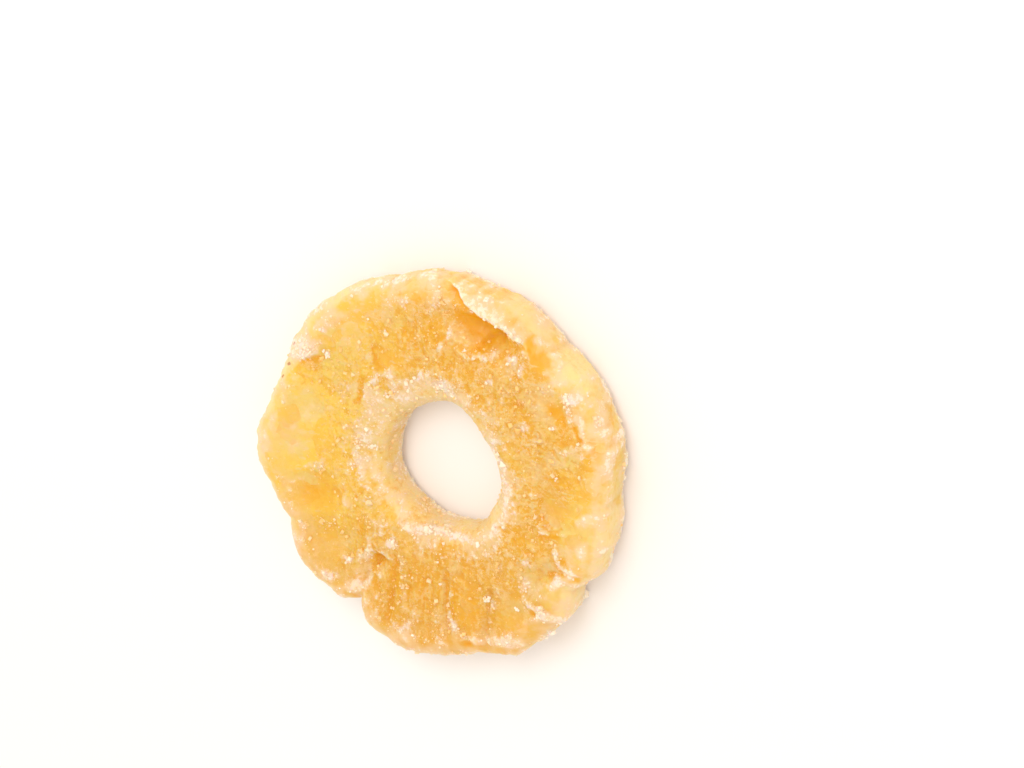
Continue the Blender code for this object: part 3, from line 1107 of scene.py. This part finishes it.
        # Painted shade: the upper face darkens towards the lower side, where less light falls; the duller patches join
        # it.
        lower_shade_and_dull = step(3.0 * MM * lumps - y - 0.2 * x, 4.0 * MM, 26.0 * MM) * on_top
        lower_shade_and_dull = np.maximum(lower_shade_and_dull, 0.8 * patches(x, y, DULL_PATCHES))
        pale = np.maximum(0.75 * rim, on_top * patches(bent_x, bent_y, PALE_PATCHES))
        pale = np.maximum(pale, np.maximum(0.65 * wall, 0.42 * core * on_top)) + 0.15 * lumps - 0.4 * stain_and_shade_cover
        # Yellower towards the left: partly the flesh's own colour, partly painted light where light comes through from
        # the left.
        yellow = 1.0 - step(x + 3.0 * MM * lumps + 0.2 * np.abs(y), -17.0 * MM, 6.0 * MM)
        yellow = np.maximum(yellow, patches(bent_x, bent_y, LEMON_PATCHES))
        store(mesh, "frost", np.clip(frost, 0.0, 1.0))
        store(mesh, "amber", np.clip(amber, 0.0, 1.0))
        store(mesh, "pale", np.clip(pale, 0.0, 1.0))
        # The hole wall is made yellower as painted light, where light comes through it; the outer walls get their own
        # yellow.
        store(mesh, "yellow", np.maximum(yellow, 0.3 * on_wall + 0.3 * hole_wall))
        store(mesh, "lower_shade_and_dull", lower_shade_and_dull)
        # Painted light: a pale glow along the outer edge, mostly on the left where light shines through, and on the
        # slope into the hole, lightened where it lies in shade.
        thin_glow = 1.0 - step(inset + 0.7 * MM * (lumps + knobs), 0.0, 3.0 * MM)
        slope_light = 1.0 - step(core_inset + 0.6 * MM * lumps, 1.0 * MM, 3.2 * MM)
        store(mesh, "thin_glow", np.maximum(thin_glow * (0.15 + 0.85 * yellow), slope_light * 0.75))
        store(mesh, "streaked", patches(x, y, FIBROUS) * on_top * (1.0 - skin_share))
        store(mesh, "fleck", on_top * patches(x, y, FLECKS))
        store(mesh, "smooth_skin", smooth * on_top)
        store(mesh, "fibre", (fibres * 0.7 + broad_fibres * 0.4) * fibrous * on_top)
        store(mesh, "wax", wax * (1.0 - on_base))
        store(mesh, "wrinkles", wrinkles * rough * (0.6 + 0.8 * knobs))
        mesh.shade_smooth()
        piece = new_piece("flesh", mesh, flesh_material(sizes))
        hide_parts(NODE)
        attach(piece, BODY)
        return {"FINISHED"}


def flesh_material(colours):
    board = Board("candied_flesh")
    place = board.place()
    frost = board.attribute("frost")
    amber = board.attribute("amber")
    pale = board.attribute("pale")
    yellow = board.attribute("yellow")
    skin = board.attribute("smooth_skin")
    wax = board.attribute("wax")
    wrinkles = board.attribute("wrinkles")
    thin_glow = board.attribute("thin_glow")
    streaked = board.attribute("streaked")
    fibre = board.attribute("fibre")
    cloud = board.noise(place, 280.0, 3.0) - 0.5
    clumps = board.noise(place, 850.0, 3.0, 0.6) - 0.5
    grains = board.noise(place, 2600.0, 2.0, 0.6) - 0.5
    flakes = board.cells(board.warped(place, 1800.0, 0.0005), 2000.0) - 0.5
    bent = board.warped(place, 700.0, 0.0012)
    facets = board.cells(bent, 800.0) - 0.5
    wide_bent = board.warped(place, 300.0, 0.0030)
    plates = board.cells(wide_bent, 270.0) - 0.5
    marks = (board.noise(board.stretched(place, (1.0, 2.2, 1.0)), 620.0, 2.0, 0.6) - 0.56) * 10.0
    threads = 1.0 - abs(board.noise(place, 760.0, 2.0) - 0.5) * 14.0
    streaks = (board.noise(board.stretched(place, (1.0, 0.16, 0.4)), 1100.0, 3.0, 0.6) - 0.5) * streaked
    fine_threads = 1.0 - abs(board.noise(place, 1500.0, 2.0) - 0.5) * 10.0
    strokes = (board.noise(board.stretched(place, (1.0, 0.25, 0.5)), 900.0, 3.0, 0.6) - 0.5) * yellow
    bare = (1.0 - skin * 0.75) * (1.0 - wax * 0.5)

    rim_share = (cloud * 4.0 + clumps * 1.2 + frost * 0.6 - yellow * 0.7 + 0.75).step(0.0, 1.0)
    rim = board.mix(rim_share, tuple(colours.lemon), tuple(colours.cream))
    colour = board.mix(yellow, tuple(colours.golden), tuple(colours.yellow))
    lobes = board.noise(place, 150.0, 2.0) - 0.5
    pale_share = pale * 1.2 + lobes * 1.6 + cloud * 1.2 + clumps * 0.6 + plates * 0.35
    pale_share = (pale_share + marks.step(0.0, 1.0) * 0.7).step(0.0, 0.9)
    colour = board.mix(pale_share, colour, rim)
    colour = board.mix(marks.step(0.0, 1.0) * skin * 0.6, colour, tuple(colours.cream))
    clear = 1.0 - frost
    colour = board.mix((plates * 1.8 - 0.1).step(0.0, 0.7) * 0.40 * clear, colour, rim)
    colour = board.mix((plates * -1.8 - 0.1).step(0.0, 0.7) * 0.35 * clear, colour, tuple(colours.golden))
    # Painted shade towards the lower side, with the duller patches.
    colour = board.mix(board.attribute("lower_shade_and_dull") * 0.50, colour, tuple(colours.lower_shade_and_dull))
    # Amber: stains and streaks of the flesh, with painted shade from hollows and creases carried in by the amber
    # attribute.
    stain_and_shade = streaks * -2.2 + amber * 1.2 + cloud * 0.5 + clumps * 0.5 + facets * 0.25 * bare - plates * 0.35 - frost * 0.3
    stain_and_shade = stain_and_shade.step(0.05, 0.95)
    colour = board.mix(stain_and_shade, colour, tuple(colours.amber))
    # Painted light of the edge glow and of the slope into the hole, with random milky mottles.
    milky_glow_share = thin_glow * 1.3 + cloud * 1.2 + clumps * 0.8 + plates * 0.3 - 0.15
    colour = board.mix(milky_glow_share.step(0.0, 0.9) * 0.8, colour, tuple(colours.milky_glow))
    dark = (cloud * -0.8 - facets * 0.4 - flakes * 0.5 - clumps * 0.9) * bare
    colour = board.mix(dark.step(0.0, 0.6) * 0.7, colour, tuple(colours.deep))
    broken = (clumps * 2.0 + cloud * 1.5 + 0.55).step(0.1, 0.7)
    lines = (threads.step(0.2, 0.9) * 0.8 + fine_threads.step(0.2, 0.9) * 0.6) * broken
    lines = (lines + streaks * 4.0 + strokes * 1.6 + wrinkles * 0.9 + fibre * 0.7 + facets * 0.3 + flakes * 0.9 - amber * 0.4) * bare
    colour = board.mix(lines.step(0.1, 1.1) * 0.68, colour, tuple(colours.light))
    bloom = frost * 1.1 + cloud * 1.2 - 0.25 + (lines * 0.25 + clumps * 0.9) * bare
    colour = board.mix(bloom.step(0.0, 0.8), colour, tuple(colours.frost))
    white = frost * 0.9 + lines * 0.3 + flakes * 0.4 + grains * 0.4 + clumps * 0.8 + cloud * 0.4 - 0.75
    colour = board.mix(white.step(0.0, 0.35) * 0.9, colour, tuple(colours.white))
    # More of the painted shade towards the lower side, with the duller patches.
    colour = board.mix(board.attribute("lower_shade_and_dull") * 0.20, colour, tuple(colours.lower_shade_and_dull))
    fleck = (board.attribute("fleck") * 1.4 + clumps * 0.6 - 0.2).step(0.0, 0.7)
    colour = board.mix(fleck * 0.8, colour, tuple(colours.peel))
    height = clumps * (0.9 - wax * 0.5) * (1.0 - frost * 0.4) + (grains * 0.45 + lines * 0.30) * bare
    normal = board.bump(height + plates * 0.45, 0.0004, 0.55)
    board.fill(
        board.shader,
        {
            "Base Color": colour,
            "Roughness": 0.36 + bloom.step(0.0, 0.8) * 0.26,
            "Normal": normal,
            "Subsurface Weight": 0.75,
            "Subsurface Radius": (1.0, 0.60, 0.22),
            "Subsurface Scale": 0.0045,
            "IOR": 1.45,
        },
    )
    return board.material


def chip(kind):
    """One chip of sugar, about 1 across: a crystal with worn edges, a grain, or a speck."""
    bm = bmesh.new()
    if kind == "speck":
        bmesh.ops.create_uvsphere(bm, u_segments=4, v_segments=2, radius=0.6)
        return bm
    bmesh.ops.create_cube(bm, size=1.0)
    if kind == "crystal":
        bmesh.ops.subdivide_edges(bm, edges=bm.edges[:], cuts=1, use_grid_fill=True)
        for vertex in bm.verts:
            worn = vertex.co.normalized() * 0.66
            vertex.co = [min(max(value, -0.5), 0.5) for value in worn]
    return bm


def copied(name, bm, count):
    """A mesh of many copies of a shape, each vertex with its copy's number and its own."""
    chip_number = bm.verts.layers.int.new("chip")
    corner_number = bm.verts.layers.int.new("corner")
    for number, vertex in enumerate(bm.verts):
        vertex[corner_number] = number
    one = np.array([vertex.co[:] for vertex in bm.verts])
    copies = 1
    while copies < count:
        made = bmesh.ops.duplicate(bm, geom=bm.verts[:] + bm.edges[:] + bm.faces[:])["geom"]
        for part in made:
            if isinstance(part, bmesh.types.BMVert):
                part[chip_number] += copies
        copies *= 2
    spare = [vertex for vertex in bm.verts if vertex[chip_number] >= count]
    bmesh.ops.delete(bm, geom=spare, context="VERTS")
    mesh = bpy.data.meshes.new(name)
    bm.to_mesh(mesh)
    bm.free()
    return mesh, one


def turned(rng, count):
    """Random turns, as matrices."""
    quaternions = rng.normal(size=(count, 4))
    quaternions /= np.linalg.norm(quaternions, axis=1)[:, None]
    w, x, y, z = quaternions.T
    rows = (
        (1 - 2 * (y * y + z * z), 2 * (x * y - w * z), 2 * (x * z + w * y)),
        (2 * (x * y + w * z), 1 - 2 * (x * x + z * z), 2 * (y * z - w * x)),
        (2 * (x * z - w * y), 2 * (y * z + w * x), 1 - 2 * (x * x + y * y)),
    )
    return np.array(rows).transpose(2, 0, 1)


def nearest(places, normals, x, y):
    """The vertex of the upper face nearest to a place given in mm from the outline's axis."""
    off = np.hypot(places[:, 0] - AXIS_PLACE[0] - x * MM, places[:, 1] - AXIS_PLACE[1] - y * MM)
    return int(np.argmin(off + (normals[:, 2] < 0.3)))


def sown(name, kind, count, size, spread, likely, clean, rng, material, placed=None):
    """Chips of sugar over the flesh: as many as count, thickest where likely is highest."""
    flesh = bpy.data.objects["flesh"].data
    flesh.calc_loop_triangles()
    corners = np.empty(len(flesh.loop_triangles) * 3, np.int32)
    flesh.loop_triangles.foreach_get("vertices", corners)
    corners = corners.reshape(-1, 3)
    places = vertex_places(flesh)
    normals = vertex_normals(flesh)
    three = places[corners]
    area = np.linalg.norm(np.cross(three[:, 1] - three[:, 0], three[:, 2] - three[:, 0]), axis=1)
    chance = area * likely[corners].mean(axis=1)
    picked = rng.choice(len(corners), size=count, p=chance / chance.sum())
    weights = rng.dirichlet((1.0, 1.0, 1.0), size=count)
    spots = (three[picked] * weights[:, :, None]).sum(axis=1)
    facing = normals[corners[picked, 0]]
    whiteness = clean[corners[picked, 0]] + rng.normal(size=count) * 0.18
    scale = size * np.exp(rng.normal(size=count) * spread)
    placed = [] if placed is None else np.repeat(placed, CLUSTER, axis=0)
    for number, (x, y, across) in enumerate(placed):
        aside = rng.normal(size=2) * across * 0.20
        vertex = nearest(places, normals, x + aside[0], y + aside[1])
        spots[number] = places[vertex]
        facing[number] = normals[vertex]
        scale[number] = across * rng.uniform(0.30, 0.60) * MM
        whiteness[number] = 1.0
    stretch = rng.uniform(0.65, 1.25, size=(count, 3)) * scale[:, None]
    spots = spots + facing * (scale * rng.uniform(-0.35, 0.05, size=count))[:, None]
    spots[:, 2] = np.maximum(spots[:, 2], scale * 0.7)

    mesh, one = copied(name, chip(kind), count)
    which = read(mesh, "chip", np.int32)
    corner = read(mesh, "corner", np.int32)
    shaped = one[corner] * stretch[which]
    shaped = np.einsum("nij,nj->ni", turned(rng, count)[which], shaped) + spots[which]
    shaped[:, 2] = np.maximum(shaped[:, 2], 0.0)
    set_places(mesh, shaped)
    store(mesh, "whiteness", np.clip(whiteness, 0.0, 1.0)[which])
    mesh.attributes.remove(mesh.attributes["chip"])
    mesh.attributes.remove(mesh.attributes["corner"])
    piece = new_piece(name, mesh, material)
    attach(piece, BODY)
    return piece


def sugar_material(colours):
    board = Board("sugar")
    cloud = board.noise(board.place(), 900.0, 1.0) - 0.5
    share = (board.attribute("whiteness") + cloud * 0.5).step(0.0, 1.0)
    colour = board.mix(share, tuple(colours.syrup), tuple(colours.white))
    board.fill(
        board.shader,
        {
            "Base Color": colour,
            "Roughness": 0.45 - share * 0.2,
            "IOR": 1.55,
        },
    )
    return board.material


class PINEAPPLE_OT_sugar(bpy.types.Operator):
    """Sows the sugar over the flesh: crystals, grains and dust."""

    bl_idname = "pineapple.sugar"
    bl_label = "Sugar"

    def execute(self, context):
        sugar = context.scene.pineapple_ring.sugar
        flesh = bpy.data.objects["flesh"].data
        frost = read(flesh, "frost")
        skin = read(flesh, "smooth_skin")
        pale = read(flesh, "pale")
        wax = read(flesh, "wax")
        material = sugar_material(sugar)
        rng = np.random.default_rng(sugar.seed)
        places = vertex_places(flesh)
        clump = noise_at(places, 1.1 * MM, 31) + 0.7 * noise_at(places, 4.0 * MM, 32)
        clumped = np.exp(2.8 * clump)
        open_ground = (1.0 - skin) * (1.0 - pale) * (1.0 - wax)
        crusted = frost**2 * (1.0 - 0.85 * wax)
        clean = 0.1 + 0.8 * frost
        sown("sugar_crystals", "crystal", sugar.crystals, sugar.crystal_size, 0.20,
             (0.05 * open_ground + crusted) * clumped, clean + 0.3, rng, material, CRYSTALS)
        sown("sugar_grains", "grain", sugar.grains, sugar.grain_size, 0.45,
             (0.22 * open_ground + crusted + 0.002) * clumped, clean, rng, material)
        sown("sugar_dust", "speck", sugar.specks, sugar.speck_size, 0.35,
             (0.30 * open_ground + crusted + 0.004) * clumped, clean, rng, material)
        return {"FINISHED"}


class PINEAPPLE_OT_stage(bpy.types.Operator):
    """Makes the floor, the lights and the camera."""

    bl_idname = "pineapple.stage"
    bl_label = "Stage"

    def execute(self, context):
        settings = context.scene.pineapple_ring.stage
        bm = bmesh.new()
        bmesh.ops.create_grid(bm, x_segments=1, y_segments=1, size=settings.floor_size / 2.0)
        bmesh.ops.translate(bm, verts=bm.verts[:], vec=(0.0, 0.0, -0.0001))
        mesh = bpy.data.meshes.new("floor")
        bm.to_mesh(mesh)
        bm.free()
        board = Board("pale_floor")
        board.fill(
            board.shader,
            {"Base Color": (*settings.floor_colour, 1.0), "Roughness": 0.8},
        )
        floor = new_piece("floor", mesh, board.material)

        world = bpy.data.worlds.new("room")
        world.use_nodes = True
        background = world.node_tree.nodes["Background"]
        background.inputs["Color"].default_value = (1.0, 0.97, 0.93, 1.0)
        background.inputs["Strength"].default_value = settings.sky
        context.scene.world = world

        data = bpy.data.lights.new("key", "AREA")
        data.shape = "DISK"
        data.size = 0.5
        data.energy = settings.key_power
        light = bpy.data.objects.new("key", data)
        place = Vector((0.04, 0.44, 0.65))
        light.location = place
        light.rotation_euler = (-place).to_track_quat("-Z", "Y").to_euler()
        context.scene.collection.objects.link(light)

        data = bpy.data.cameras.new("camera")
        data.lens = settings.lens
        camera = bpy.data.objects.new("camera", data)
        back = Vector((0.443, 0.30617, 0.84262)).normalized()
        level = Vector((0.0, 1.0, 0.0))
        upward = (level - back * level.dot(back)).normalized()
        sideways = upward.cross(back)
        camera.location = Vector((0.18755, 0.13626, 0.33587)) + Vector((*AXIS_PLACE, 0.0))
        turn = Matrix((sideways, upward, back)).transposed()
        camera.rotation_mode = "QUATERNION"
        camera.rotation_quaternion = turn.to_quaternion()
        context.scene.collection.objects.link(camera)
        context.scene.camera = camera
        context.scene.view_settings.view_transform = "Standard"
        return {"FINISHED"}


class PINEAPPLE_PT_making(bpy.types.Panel):
    """Lists the pieces of the scene and their settings."""

    bl_label = "Candied pineapple ring"
    bl_space_type = "VIEW_3D"
    bl_region_type = "UI"
    bl_category = "Fruit"

    def draw(self, context):
        settings = context.scene.pineapple_ring
        groups = (
            (PINEAPPLE_OT_flesh, settings.flesh),
            (PINEAPPLE_OT_sugar, settings.sugar),
            (PINEAPPLE_OT_stage, settings.stage),
        )
        for operator, group in groups:
            box = self.layout.box()
            box.operator(operator.bl_idname)
            for name in group.__annotations__:
                box.prop(group, name)


CLASSES = (
    FleshSettings,
    SugarSettings,
    StageSettings,
    RingSettings,
    PINEAPPLE_OT_flesh,
    PINEAPPLE_OT_sugar,
    PINEAPPLE_OT_stage,
    PINEAPPLE_PT_making,
)


def register():
    for made in CLASSES:
        bpy.utils.register_class(made)
    bpy.types.Scene.pineapple_ring = PointerProperty(type=RingSettings)


def unregister():
    del bpy.types.Scene.pineapple_ring
    for made in reversed(CLASSES):
        bpy.utils.unregister_class(made)


def main():
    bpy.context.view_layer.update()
    register()
    bpy.ops.pineapple.flesh()
    bpy.ops.pineapple.sugar()
    bpy.ops.pineapple.stage()


if __name__ == "__main__":
    main()
